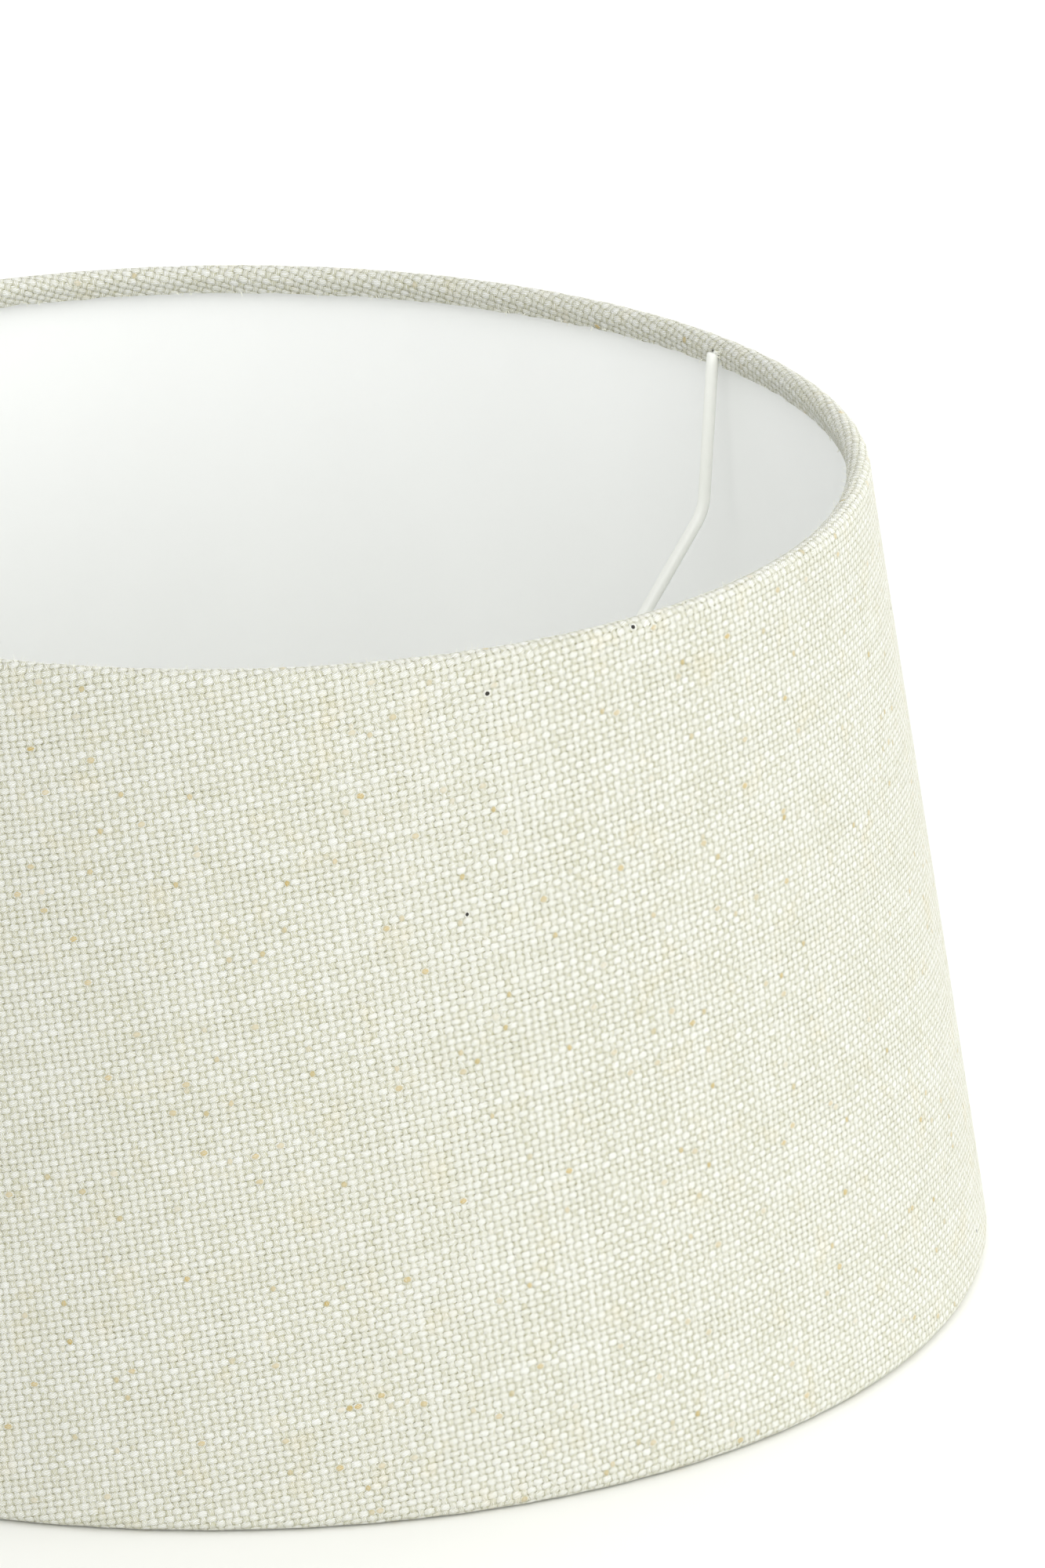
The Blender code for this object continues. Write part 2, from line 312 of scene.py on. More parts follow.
    def strand_lines(self) -> list[tuple]:
        """Return the formula of the strands that the yarns are spun from.

        Returns:
            Lines that give the strand, which goes from trough to crest across each, and the relief.
        """
        slant, pitch = self.strand_slant, self.strand_pitch
        return [
            # They lie the same way round in both yarns, so they lean opposite ways on the cloth.
            ("nx", "MULTIPLY_ADD", "is_weft", (-sin(slant) - cos(slant)) / pitch, cos(slant) / pitch),
            ("ny", "MULTIPLY_ADD", "is_weft", (cos(slant) - sin(slant)) / pitch, sin(slant) / pitch),
            ("strand", "MULTIPLY", "x", "nx"),
            ("strand", "MULTIPLY_ADD", "y", "ny", "strand"),
            ("strand", "ADD", "strand", "float_own"),
            ("strand", "MULTIPLY_ADD", "fray", self.strand_stray, "strand"),
            ("strand", "MULTIPLY", "strand", FULL_TURN),
            ("strand", "SINE", "strand"),
            ("strand", "MULTIPLY", "strand", "fluff"),
            ("relief", "MULTIPLY_ADD", "strand", self.strand_relief, "up"),
        ]

    def tone_lines(self) -> list[tuple]:
        """Return the formula of how light the yarn is.

        Returns:
            Lines that give the tone, and the roughness that goes with it.
        """
        # Of these parts, the strands' term is painted light and shade: the tone follows each strand,
        # lighter on its crest and darker in its trough.
        parts = {
            "is_weft": self.weft_tone,
            "speck_own": self.float_tone,
            "bright": self.bright_tone,
            "cloud": self.cloud_tone,
            "strand": self.painted_strand_light,
            "fluff": self.fluff_tone,
        }
        return [
            ("own", "SUBTRACT", "weft_own", "warp_own"),
            ("own", "MULTIPLY_ADD", "own", "is_weft", "warp_own"),
            ("bright", "POWER", "float_own", self.bright_power),
            ("tone", "MULTIPLY_ADD", "own", self.yarn_tone, self.base_tone),
            *[("tone", "MULTIPLY_ADD", part, share, "tone") for part, share in parts.items()],
            # Painted light: the higher the yarn stands, the lighter its tone.
            ("tone", "CLAMPED_MULTIPLY_ADD", "up", self.painted_crown_light, "tone"),
            ("rough", "MULTIPLY_ADD", "tone", self.roughness_change, self.roughness),
        ]

    def fleck_lines(self) -> list[tuple]:
        """Return the formula of the bast, the stains and the specks.

        Returns:
            Lines that give how strongly each of them shows.
        """
        return [
            # Each bit of bast lies on the crown of one float.
            ("bast", "SUBTRACT", "bast_own", 1 - self.bast_share),
            ("bast", "CLAMPED_DIVIDE", "bast", self.bast_share),
            ("bast", "POWER", "bast", self.bast_power),
            ("crown", "SUBTRACT", "height", self.bast_height),
            ("crown", "CLAMPED_MULTIPLY", "crown", self.bast_rise),
            ("bast", "MULTIPLY", "bast", "crown"),
            ("split", "CLAMPED_MULTIPLY_ADD", "strand", self.bast_split, self.bast_body),
            ("bast", "MULTIPLY", "bast", "split"),
            # Here and there a faint tan stain spreads over a few floats.
            ("stain", "SUBTRACT", "drift_v", self.stain_start),
            ("stain", "CLAMPED_MULTIPLY", "stain", self.stain_rise),
            ("speck", "GREATER_THAN", "speck_own", 1 - self.speck_share),
            ("crown", "GREATER_THAN", "height", self.speck_height),
            ("speck", "MULTIPLY", "speck", "crown"),
        ]

    def add_chance(self, tree: bpy.types.NodeTree, known: dict[str, bpy.types.NodeSocket]) -> None:
        """Add each yarn's own swelling and shade, and what chance gives each crossing.

        Args:
            tree: The material's node tree.
            known: Named values so far. These are added to them.
        """
        for yarn in ("warp", "weft"):
            spot = {"X": known[f"{yarn}_spot"], "Y": known[f"{yarn}_run"]}
            swell = {"Vector": add_node(tree, "ShaderNodeCombineXYZ", spot), "Scale": 1.0, "Detail": 1.0}
            swell = add_node(tree, "ShaderNodeTexNoise", swell, noise_dimensions="2D")
            own = add_node(tree, "ShaderNodeTexWhiteNoise", {"W": known[yarn]}, noise_dimensions="1D")
            known |= {f"{yarn}_swell": swell.outputs["Fac"], f"{yarn}_own": own.outputs["Value"]}
        crossing = add_node(tree, "ShaderNodeCombineXYZ", {"X": known["warp"], "Y": known["weft"]})
        chance = add_node(tree, "ShaderNodeTexWhiteNoise", {"Vector": crossing}, noise_dimensions="2D")
        channels = add_node(tree, "ShaderNodeSeparateColor", {"Color": chance.outputs["Color"]})
        known |= dict(zip(("float_own", "bast_own", "speck_own"), channels.outputs))

    def surface(self, tree: bpy.types.NodeTree) -> dict[str, Any]:
        """Draw the weave on the flat cloth, so that it runs straight there and turns on the cone.

        Args:
            tree: The material's node tree.

        Returns:
            The shader's inputs that vary over the surface.
        """
        flat = add_node(tree, "ShaderNodeUVMap", uv_map=FLAT_MAP)
        place = add_node(tree, "ShaderNodeSeparateXYZ", {"Vector": flat})
        known = dict(zip(("x", "y"), place.outputs))
        changes = (
            (("drift_u", "drift_v"), self.wander, 2.0),
            (("cloud",), self.cloud, 3.0),
            (("fray", "fluff"), self.fray, 1.0),
        )
        for names, size, detail in changes:
            inputs = {"Vector": flat, "Scale": 1 / size, "Detail": detail}
            noise = add_node(tree, "ShaderNodeTexNoise", inputs, noise_dimensions="2D")
            channels = add_node(tree, "ShaderNodeSeparateColor", {"Color": noise.outputs["Color"]})
            known |= dict(zip(names, channels.outputs))
        add_formula(tree, known, self.grid_lines())
        self.add_chance(tree, known)
        for lines in (self.height_lines(), self.strand_lines(), self.tone_lines(), self.fleck_lines()):
            add_formula(tree, known, lines)

        # Where one yarn dives under the other there is a crease. Painted shade darkens it towards the gap's
        # colour, darkest at the ends of the floats.
        ramps = {
            "depth": {"Value": known["height"], "From Min": self.gap_height, "From Max": self.yarn_height},
            "lit": {"Value": known["apart"], "From Max": self.crease_shade_width, "To Min": self.crease_shade_floor},
        }
        for name, inputs in ramps.items():
            ramp = add_node(tree, "ShaderNodeMapRange", inputs, interpolation_type="SMOOTHSTEP")
            known[name] = ramp.outputs[0]
        folds = [
            ("lost", "SUBTRACT", 1.0, "lit"),
            ("lost", "MULTIPLY", "lost", "upright"),
            ("lit", "SUBTRACT", 1.0, "lost"),
            ("depth", "MULTIPLY", "depth", "lit"),
        ]
        add_formula(tree, known, folds)

        shades = {0: known["tone"], 6: linear_colour(self.shade), 7: linear_colour(self.light)}
        yarn = add_node(tree, "ShaderNodeMix", shades, data_type="RGBA")
        # The first layer lays the yarn's colour over the gap's painted shade. The other three are the
        # cloth's own stains, bast and specks.
        layers = (
            ("depth", yarn.outputs[2], "MIX"),
            ("stain", linear_colour(self.tan), "MULTIPLY"),
            ("bast", linear_colour(self.bast), "MULTIPLY"),
            ("speck", linear_colour(self.speck), "MIX"),
        )
        colour = linear_colour(self.gap)
        for share, over, blend in layers:
            inputs = {0: known[share], 6: colour, 7: over}
            layer = add_node(tree, "ShaderNodeMix", inputs, data_type="RGBA", blend_type=blend)
            colour = layer.outputs[2]
        height = {"Strength": 1.0, "Distance": self.relief, "Height": known["relief"]}
        bump = add_node(tree, "ShaderNodeBump", height)
        return {"Base Color": colour, "Roughness": known["rough"], "Normal": bump}


@dataclass(frozen=True)
class Mottled(Finish):
    """A smooth finish with a slight mottle: two near colours, a fine bump and uneven gloss."""

    dark: str = "f0f0ec"
    light: str = "fafaf7"
    mottle: float = 12 * MM
    grain: float = 1.0 * MM
    depth: float = 0.01 * MM
    roughness: float = 0.45
    gloss_change: float = 0.08
    stretch: tuple[float, float, float] = (1.0, 1.0, 1.0)

    def surface(self, tree: bpy.types.NodeTree) -> dict[str, Any]:
        """Spread the mottle and the grain through the piece's own space.

        Args:
            tree: The material's node tree.

        Returns:
            The shader's inputs that vary over the surface.
        """
        place = add_node(tree, "ShaderNodeTexCoord").outputs["Object"]
        drawn = add_node(tree, "ShaderNodeMapping", {"Vector": place, "Scale": self.stretch})
        mottle, grain = (
            add_node(tree, "ShaderNodeTexNoise", {"Vector": drawn, "Scale": 1 / size, "Detail": detail})
            for size, detail in ((self.mottle, 4.0), (self.grain, 2.0))
        )
        shades = {0: mottle, 6: linear_colour(self.dark), 7: linear_colour(self.light)}
        colour = add_node(tree, "ShaderNodeMix", shades, data_type="RGBA").outputs[2]
        low = self.roughness - self.gloss_change
        high = self.roughness + self.gloss_change
        gloss = add_node(tree, "ShaderNodeMapRange", {"Value": mottle, "To Min": low, "To Max": high})
        bump = add_node(tree, "ShaderNodeBump", {"Strength": 1.0, "Distance": self.depth, "Height": grain})
        return {"Base Color": colour, "Roughness": gloss, "Normal": bump}


# Flax yarn, woven, singed and pressed: dull off-white bricks of thread with a soft, grainy shade.
LINEN = PlainWeaveLinen("linen_plain_weave", ior=1.53, sheen=0.12)

# Loose flax has no weave to draw: it takes the yarn's own colours.
FLAX = Mottled(
    "flax_loose_fibre", ior=1.53, sheen=0.2, dark="dedecb", light="f4f4e8", mottle=4 * MM,
    grain=0.5 * MM, depth=0.02 * MM, roughness=0.85,
)

# Flexible sheet drawn between hot rollers: an even white, a soft gloss and faint lines along the draw.
PVC = Mottled(
    "pvc_calendered_white", ior=1.53, dark="f7f8f6", light="fbfcfa", mottle=25 * MM, grain=1.6 * MM,
    depth=0.006 * MM, roughness=0.42, gloss_change=0.06, stretch=(1.0, 1.0, 0.25),
)

# Clear film with adhesive on both sides: milky, a little yellow, with small trapped bubbles.
TAPE = Mottled(
    "acrylic_tape_clear", ior=1.48, dark="d8d3bd", light="e9e6d8", mottle=3 * MM, grain=0.8 * MM,
    depth=0.02 * MM, roughness=0.32,
)

# Drawn steel wire under baked powder: off-white, softly glossy, with the powder's fine orange peel.
WIRE = Mottled(
    "steel_wire_powder_coated", ior=1.52, coat=0.15, dark="ebece4", light="f5f6ef", mottle=9 * MM,
    grain=0.9 * MM, depth=0.015 * MM, roughness=0.36,
)

# Stamped plate under the same powder, which lies thicker and a little duller on the flat.
PLATE = Mottled(
    "steel_plate_powder_coated", ior=1.52, coat=0.15, dark="e9eae2", light="f3f4ed", mottle=11 * MM,
    grain=1.1 * MM, depth=0.02 * MM, roughness=0.40,
)

# Wide white paper, with no sheen and only a trace of fibre.
PAPER = Mottled(
    "paper_matt_white", ior=1.45, dark="ecece6", light="f0f0eb", mottle=400 * MM, grain=4 * MM,
    depth=0.01 * MM, roughness=0.9, gloss_change=0.04,
)

# ---------------------------------------------------------------- round pieces


def smooth_mesh(name: str, points: np.ndarray, faces: list[list[int]]) -> bpy.types.Mesh:
    """Make a mesh that is smooth all over, but for its sharp edges.

    Args:
        name: The mesh's name.
        points: Its points.
        faces: The point numbers of each face.

    Returns:
        The mesh.
    """
    mesh = bpy.data.meshes.new(name)
    mesh.from_pydata(points.tolist(), [], faces)
    mesh.shade_smooth()
    mesh.set_sharp_from_angle(angle=SHARP_ANGLE)
    return mesh


def swing(radius: np.ndarray | float, turn: np.ndarray | float, height: np.ndarray | float) -> np.ndarray:
    """Return the points that lie at a radius, a turn and a height."""
    return np.stack(np.broadcast_arrays(radius * np.cos(turn), radius * np.sin(turn), height), axis=-1)


def ease(share: np.ndarray) -> np.ndarray:
    """Ease a share from nought to one, so that it sets off and arrives level."""
    return share * share * (3 - 2 * share)


@dataclass(frozen=True)
class Waver:
    """Slow unevenness round a piece, from a few waves that close up after a full turn."""

    height: float
    waves: tuple[int, ...]
    seed: int
    shift: float = 40.0  # how far the waves turn at most, in radians for each metre up

    def at(self, turn: np.ndarray, along: np.ndarray | float = 0.0) -> np.ndarray:
        """Return how far the surface stands out.

        Args:
            turn: Turns, in radians.
            along: Places up the piece, in metres, which shift the waves.

        Returns:
            Distances in metres, of either sign.
        """
        draw = np.random.default_rng(self.seed)
        total = 0.0
        for wave in self.waves:
            phase, climb = draw.uniform(0, FULL_TURN), draw.uniform(-self.shift, self.shift)
            total = total + np.cos(wave * turn + phase + climb * along)
        return self.height * total / len(self.waves)


@dataclass(frozen=True)
class WireLine:
    """The centre line of a wire ring, and its wire's radius."""

    radius: float
    height: float
    wire: float

    @classmethod
    def from_node(cls, node: str) -> "WireLine":
        """Read a ring from its node's box.

        Args:
            node: The ring's node.

        Returns:
            The ring's line.
        """
        low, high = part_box(node)
        wire = (high.z - low.z) / 2
        return cls(high.x - wire, (high.z + low.z) / 2, wire)


class Band(Enum):
    """The parts of the cloth, from its edge to the wall."""

    HEM = "hem"
    ROLL = "roll"
    WALL = "wall"


@dataclass(frozen=True)
class Row:
    """A line round a sheet: where it runs, which way the sheet faces and how far along it lies."""

    radius: float
    height: float
    tilt: float
    run: float
    band: Band
    edge_share: float = 0.0  # how much of the edge's unevenness it takes


@dataclass(frozen=True)
class ShadeForm:
    """The cone that the sheets follow, drawn round the two wire rings."""

    bottom: WireLine
    top: WireLine
    cloth: float = 0.8 * MM

    @property
    def lean(self) -> float:
        """The wall's lean from upright."""
        return atan2(self.bottom.radius - self.top.radius, self.top.height - self.bottom.height)

    @property
    def roll(self) -> float:
        """How far the middle of the cloth lies from a ring's centre line."""
        return self.bottom.height - self.cloth / 2

    def wall_radius(self, height: np.ndarray | float, out: float) -> np.ndarray | float:
        """Return the radius at a height of the cone that lies out from the rings' centre lines."""
        return self.bottom.radius - (height - self.bottom.height) * tan(self.lean) + out / cos(self.lean)

    def flat_cut(self, turn: np.ndarray, distance: np.ndarray, zero_turn: float) -> np.ndarray:
        """Lay points of the cone out flat.

        Args:
            turn: Turns, in radians.
            distance: Distances from the cone's tip, in metres.
            zero_turn: The turn at which the cloth's warp runs straight to the tip.

        Returns:
            Flat places in metres, x along the weft and y along the warp.
        """
        angle = (turn - zero_turn) * sin(self.lean)
        return np.stack([distance * np.sin(angle), -distance * np.cos(angle)], axis=-1)


@dataclass
class ClosedSheet:
    """A sheet as a grid of columns and rows, to be closed into a thin solid."""

    points: np.ndarray  # the middle of the sheet
    facing: np.ndarray  # which way its outer side faces
    kept: np.ndarray  # which cells are there
    thickness: float
    flat: np.ndarray  # places on the flat sheet
    along: np.ndarray  # each column's share of the way round
    up: np.ndarray  # each row's share of the way up

    CORNERS = np.array([(0, 0), (1, 0), (1, 1), (0, 1)])
    STRIPS = 2  # the outer side is laid out in this many strips
    STRIP_WIDTH = 0.94
    STRIP_HEIGHT = 0.48
    SIDE_STRIP = 0.97  # where the hidden side starts
    MARGIN = 0.01

    def mesh(self, name: str) -> bpy.types.Mesh:
        """Close the sheet.

        Args:
            name: The mesh's name.

        Returns:
            One closed mesh with the flat and the bake map.
        """
        columns, rows = self.points.shape[:2]
        cells = np.argwhere(self.kept)
        quads = cells[:, None, :] + self.CORNERS
        outer = np.zeros((len(cells), 4), int)
        parts = [(quads, outer, cells), (quads[:, ::-1], outer + 1, cells)]
        fenced = np.pad(self.kept, 1)
        steps = ((0, -1), (1, 0), (0, 1), (-1, 0))
        for k, (column_step, row_step) in enumerate(steps):
            open_side = ~fenced[cells[:, 0] + 1 + column_step, cells[:, 1] + 1 + row_step]
            first, last = quads[open_side, k], quads[open_side, (k + 1) % 4]
            rim = np.stack([last, first, first, last], axis=1)
            parts.append((rim, np.tile([0, 0, 1, 1], (len(rim), 1)), cells[open_side]))
        grid, layer, cell = (np.concatenate(part) for part in zip(*parts))

        number = (layer * columns + grid[..., 0]) * rows + grid[..., 1]
        used, corners = np.unique(number, return_inverse=True)
        half = self.facing * self.thickness / 2
        both = np.stack([self.points + half, self.points - half]).reshape(-1, 3)
        mesh = smooth_mesh(name, both[used], corners.reshape(-1, 4).tolist())

        strip = np.minimum((self.along[cell[:, 0]] * self.STRIPS).astype(int), self.STRIPS - 1)[:, None]
        along, up = self.along[grid[..., 0]], self.up[grid[..., 1]]
        front = np.stack(
            [
                (along * self.STRIPS - strip) * self.STRIP_WIDTH + self.MARGIN,
                (strip / self.STRIPS) + up * self.STRIP_HEIGHT + self.MARGIN,
            ],
            axis=-1,
        )
        spare = 1 - self.SIDE_STRIP - self.MARGIN
        along = self.MARGIN + along * (1 - 2 * self.MARGIN)
        back = np.stack([self.SIDE_STRIP + up * spare, along], axis=-1)
        hidden = layer.all(axis=1)[:, None, None]
        maps = {FLAT_MAP: self.flat[grid[..., 0], grid[..., 1]], BAKE_MAP: np.where(hidden, back, front)}
        for map_name, places in maps.items():
            mesh.uv_layers.new(name=map_name).data.foreach_set("uv", places.ravel())
        return mesh


def add_piece(
    name: str, mesh: bpy.types.Mesh, finish: bpy.types.Material, nodes: Sequence[str] = ()
) -> bpy.types.Object:
    """Add a finished piece to the shade.

    Args:
        name: The piece's name.
        mesh: Its mesh, in place.
        finish: Its material.
        nodes: The plain solids that it stands for.

    Returns:
        The piece.
    """
    mesh.materials.append(finish)
    piece = bpy.data.objects.new(name, mesh)
    bpy.context.scene.collection.objects.link(piece)
    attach(piece, BODY)
    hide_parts(*nodes)
    return piece


# ---------------------------------------------------------------- linen, lining and tape


@dataclass
class LinenCover:
    """Linen sheet rolled over both rings, parted at the arms and lapped along the side seam."""

    form: ShadeForm
    arm_turns: tuple[float, ...]
    hem_depth: float = 5.2 * MM
    hem_line: Waver = Waver(0.30 * MM, (17, 43, 89, 131), 5)  # of the cut edge
    hem_tuck: float = radians(7)
    lumps: Waver = Waver(0.07 * MM, (61, 94, 127), 8)  # of the rolled edges
    ripples: Waver = Waver(0.16 * MM, (5, 9, 14, 22), 3)  # of the wall
    ripple_start: float = 10 * MM  # where the ripples reach their full height
    seam_turn: float = radians(144)
    lap: float = 12 * MM
    lap_rise: float = 1.05 * MM
    lap_climb: float = 8 * MM
    lap_trim: float = 8 * MM
    notch: float = 1.65 * MM
    notch_start: float = radians(165)
    warp_turn: float = radians(318.8)
    column_count: int = 456
    roll_steps: int = 14
    hem_steps: int = 4
    wall_steps: int = 50

    @property
    def lap_angle(self) -> float:
        """The lap's width as a turn."""
        return 2 * self.lap / (self.form.bottom.radius + self.form.top.radius)

    @property
    def start(self) -> float:
        """The turn at which the sheet starts, under the lap."""
        return self.seam_turn - self.lap_angle / 2

    @property
    def end(self) -> float:
        """The turn at which the sheet ends, over the lap."""
        return self.start + FULL_TURN + self.lap_angle

    def rolled_edge(self, ring: WireLine, side: int) -> list[Row]:
        """Return the rows round a ring.

        Args:
            ring: The ring that the cloth is rolled round.
            side: One at the top ring, minus one at the bottom.

        Returns:
            Rows from the wall to the cloth's edge, with runs from nought.
        """
        form = self.form
        last = side * (pi + self.hem_tuck) + form.lean
        rows = []
        for tilt in np.linspace(form.lean, last, self.roll_steps + 1):
            band = Band.HEM if abs(tilt) > self.notch_start else Band.ROLL
            radius, height = ring.radius + form.roll * cos(tilt), ring.height + form.roll * sin(tilt)
            rows.append(Row(radius, height, tilt, abs(tilt - form.lean) * form.roll, band))
        rim = ring.height + side * (form.roll + form.cloth / 2)
        turned = rows[-1]
        length = (self.hem_depth - abs(rim - turned.height)) / cos(last - side * pi)
        for share in np.arange(1, self.hem_steps + 1) / self.hem_steps:
            step = side * share * length
            radius, height = turned.radius - step * sin(last), turned.height + step * cos(last)
            rows.append(Row(radius, height, last, turned.run + share * length, Band.HEM, share))
        return rows

    def rows(self) -> list[Row]:
        """Line up the rows of both rolled edges and the wall.

        Returns:
            Every row, from the lower edge to the upper one.
        """
        low = self.rolled_edge(self.form.bottom, -1)[::-1]
        high = self.rolled_edge(self.form.top, 1)
        first, last = low[-1], high[0]
        reach = np.hypot(last.radius - first.radius, last.height - first.height)
        foot = low[0].run
        rows = [replace(row, run=foot - row.run) for row in low]
        for share in np.arange(1, self.wall_steps) / self.wall_steps:
            radius = first.radius + share * (last.radius - first.radius)
            height = first.height + share * (last.height - first.height)
            rows.append(Row(radius, height, self.form.lean, foot + share * reach, Band.WALL))
        return rows + [replace(row, run=foot + reach + row.run) for row in high]

    def columns(self) -> np.ndarray:
        """Space the columns evenly, round those that the notches and the lap need.

        Returns:
            The columns' turns, in order.
        """
        half = self.notch / self.form.top.radius
        own = [self.start, self.end, self.start + self.lap_angle]
        for turn in self.arm_turns:
            turn += FULL_TURN * (turn < self.start)
            own += [turn - half, turn, turn + half]
        even = np.linspace(self.start, self.end, self.column_count + 1)
        gap = np.abs(even[:, None] - np.array(own)).min(axis=1)
        return np.sort(np.concatenate([own, even[gap > half / 2]]))

    def kept_cells(self, turns: np.ndarray, rows: list[Row]) -> np.ndarray:
        """Cut out the notches at the arms, and trim the lap's inner layer.

        Args:
            turns: The columns' turns.
            rows: The cloth's rows.

        Returns:
            Which cells the cloth has, by column and row.
        """
        middle = (turns[:-1] + turns[1:]) / 2
        kept = np.ones((len(turns) - 1, len(rows) - 1), bool)
        arms = np.array(self.arm_turns)
        away = np.abs((middle[:, None] - arms + pi) % FULL_TURN - pi).min(axis=1)
        at_arm = away < self.notch / self.form.top.radius
        under = middle < self.start + self.lap_angle
        rim = self.form.top.height + self.form.bottom.height
        for k, (row, above) in enumerate(zip(rows[:-1], rows[1:])):
            if row.band == above.band == Band.HEM and row.height > rim / 2:
                kept[at_arm, k] = False
            lowest, highest = sorted((row.height, above.height))
            inside = lowest >= self.lap_trim and highest <= rim - self.lap_trim
            if not (inside and above.band == Band.WALL):
                kept[under, k] = False
        return kept

    def flat_size(self, rows: list[Row]) -> tuple[tuple[float, float], float]:
        """Work out the cut that the cloth was made from.

        Args:
            rows: The cloth's rows.

        Returns:
            The width and length of the cloth that the cut needs, and the cut's own area.
        """
        angle = (self.end - self.start) * sin(self.form.lean)
        wide = self.tip_distance(rows)[0]
        narrow = wide - rows[-1].run
        size = (2 * wide * sin(angle / 2), wide - narrow * cos(angle / 2))
        return size, angle * (wide**2 - narrow**2) / 2

    def tip_distance(self, rows: list[Row]) -> np.ndarray:
        """Return each row's distance from the cone's tip, along the cloth."""
        base = next(row for row in rows if row.band == Band.WALL)
        return base.radius / sin(self.form.lean) + base.run - np.array([row.run for row in rows])

    def build(self, finish: bpy.types.Material) -> bpy.types.Object:
        """Make the cover.

        Args:
            finish: The linen.

        Returns:
            The piece, one closed cloth.
        """
        rows = self.rows()
        turns = self.columns()
        turn = turns[:, None]
        radius, height, tilt, run, edge = (
            np.array([getattr(row, name) for row in rows])[None]
            for name in ("radius", "height", "tilt", "run", "edge_share")
        )
        is_wall = np.array([row.band == Band.WALL for row in rows])[None]

        foot = self.form.bottom.height
        rim = self.form.top.height + foot
        climb = self.lap_climb * self.lap_angle / self.lap
        share = np.clip((turn - (self.end - self.lap_angle)) / climb + 1, 0, 1)
        clear = np.minimum(height, rim - height) - foot
        fade = np.clip(clear / (self.lap_trim - foot), 0, 1) * is_wall
        rise = self.lap_rise * ease(share) * ease(fade)

        ripple = self.ripples.at(turn, height) * np.clip(clear / self.ripple_start, 0, 1)
        out = rise + ripple * is_wall + self.lumps.at(turn) * ~is_wall
        slide = edge * self.hem_line.at(turn, height) * np.sign(height - rim / 2)
        radial = radius + out * np.cos(tilt) - slide * np.sin(tilt)
        level = height + out * np.sin(tilt) + slide * np.cos(tilt)
        sheet = ClosedSheet(
            swing(radial, turn, level),
            swing(np.cos(tilt), turn, np.sin(tilt)),
            self.kept_cells(turns, rows),
            self.form.cloth,
            self.form.flat_cut(turn, self.tip_distance(rows)[None], self.warp_turn),
            (turns - self.start) / (self.end - self.start),
            run[0] / run[0, -1],
        )
        return add_piece("linen_cover", sheet.mesh("linen_cover"), finish, ["fabric_cover"])


@dataclass
class ConeSheet:
    """A plain sheet rolled into a cone, whose ends may butt."""

    form: ShadeForm
    name: str
    node: str
    slot: str
    start: float
    end: float
    thickness: float
    out: float  # from the rings' centre lines to the middle of the sheet
    unevenness: Waver = Waver(0.05 * MM, (4, 7, 11), 12)
    edge_unevenness: float = 0.10 * MM
    edge_waves: int = 37
    edge_power: int = 9  # an odd one: the higher, the nearer its edges it is uneven
    column_count: int = 240
    row_count: int = 24

    def build(self, finish: bpy.types.Material) -> bpy.types.Object:
        """Make the sheet between its node's lowest and highest points.

        Args:
            finish: The sheet's material.

        Returns:
            The piece, one closed sheet.
        """
        low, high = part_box(self.node)
        turns = np.linspace(self.start, self.end, self.column_count + 1)
        turn = turns[:, None]
        up = np.linspace(0, 1, self.row_count + 1)
        wave = (1 + np.cos(self.edge_waves * turn)) / 2
        uneven = self.edge_unevenness * wave * (2 * up - 1) ** self.edge_power
        height = low.z + (high.z - low.z) * up - uneven
        lean = self.form.lean
        radius = self.form.wall_radius(height, self.out + self.unevenness.at(turn, height))
        points = swing(radius, turn, height)
        sheet = ClosedSheet(
            points,
            np.broadcast_to(swing(cos(lean), turn, sin(lean)), points.shape),
            np.ones((self.column_count, self.row_count), bool),
            self.thickness,
            self.form.flat_cut(turn, radius / sin(lean), 0.0),
            (turns - self.start) / (self.end - self.start),
            up,
        )
        return add_piece(self.name, sheet.mesh(self.name), finish, [self.node])


@dataclass
class Lining:
    """The stiff lining that the linen is stuck to, and the tape that holds the linen's lap."""

    cover: LinenCover
    thickness: float = 0.4 * MM
    tape_thickness: float = 0.2 * MM
    tape_inset: float = 1.5 * MM  # from the lap's edges
    tape_columns: int = 12
    glue: float = 0.02 * MM
    butt: float = radians(0.12)  # half the gap between the lining's ends

    def build(self, liner: bpy.types.Material, tape: bpy.types.Material) -> list[bpy.types.Object]:
        """Make the lining and the tape.

        Args:
            liner: The lining's material.
            tape: The tape's.

        Returns:
            The two pieces.
        """
        form, cover = self.cover.form, self.cover
        half_cloth = form.cloth / 2 + self.glue
        first, last = cover.seam_turn + self.butt, cover.seam_turn + FULL_TURN - self.butt
        out = form.roll - half_cloth - self.thickness / 2
        lining = ConeSheet(form, "liner_sheet", "pvc_liner", "liner", first, last, self.thickness, out)
        inset = cover.lap_angle * self.tape_inset / cover.lap
        first, last = cover.start + inset, cover.start + cover.lap_angle - inset
        out = form.roll + half_cloth + self.tape_thickness / 2
        strip = ConeSheet(
            form, "tape_strip", "seam_tape", "tape", first, last, self.tape_thickness, out,
            column_count=self.tape_columns,
        )
        return [lining.build(liner), strip.build(tape)]


# ---------------------------------------------------------------- wires, welds and loose fibres


@dataclass(frozen=True)
class Strand:
    """A round strand: the points along its middle and its radius at each."""

    centres: np.ndarray
    radii: np.ndarray


def join_rings(length: int, sides: int, closed: bool) -> np.ndarray:
    """Join rings of points, each one to the next.

    Args:
        length: How many rings there are.
        sides: How many points each has.
        closed: Whether the last ring joins the first.

    Returns:
        The four point numbers of each face.
    """
    here = np.arange(length if closed else length - 1)[:, None] * sides
    there = (here + sides) % (length * sides)
    spot = np.arange(sides)[None]
    beyond = (spot + 1) % sides
    return np.stack([here + spot, here + beyond, there + beyond, there + spot], axis=-1).reshape(-1, 4)


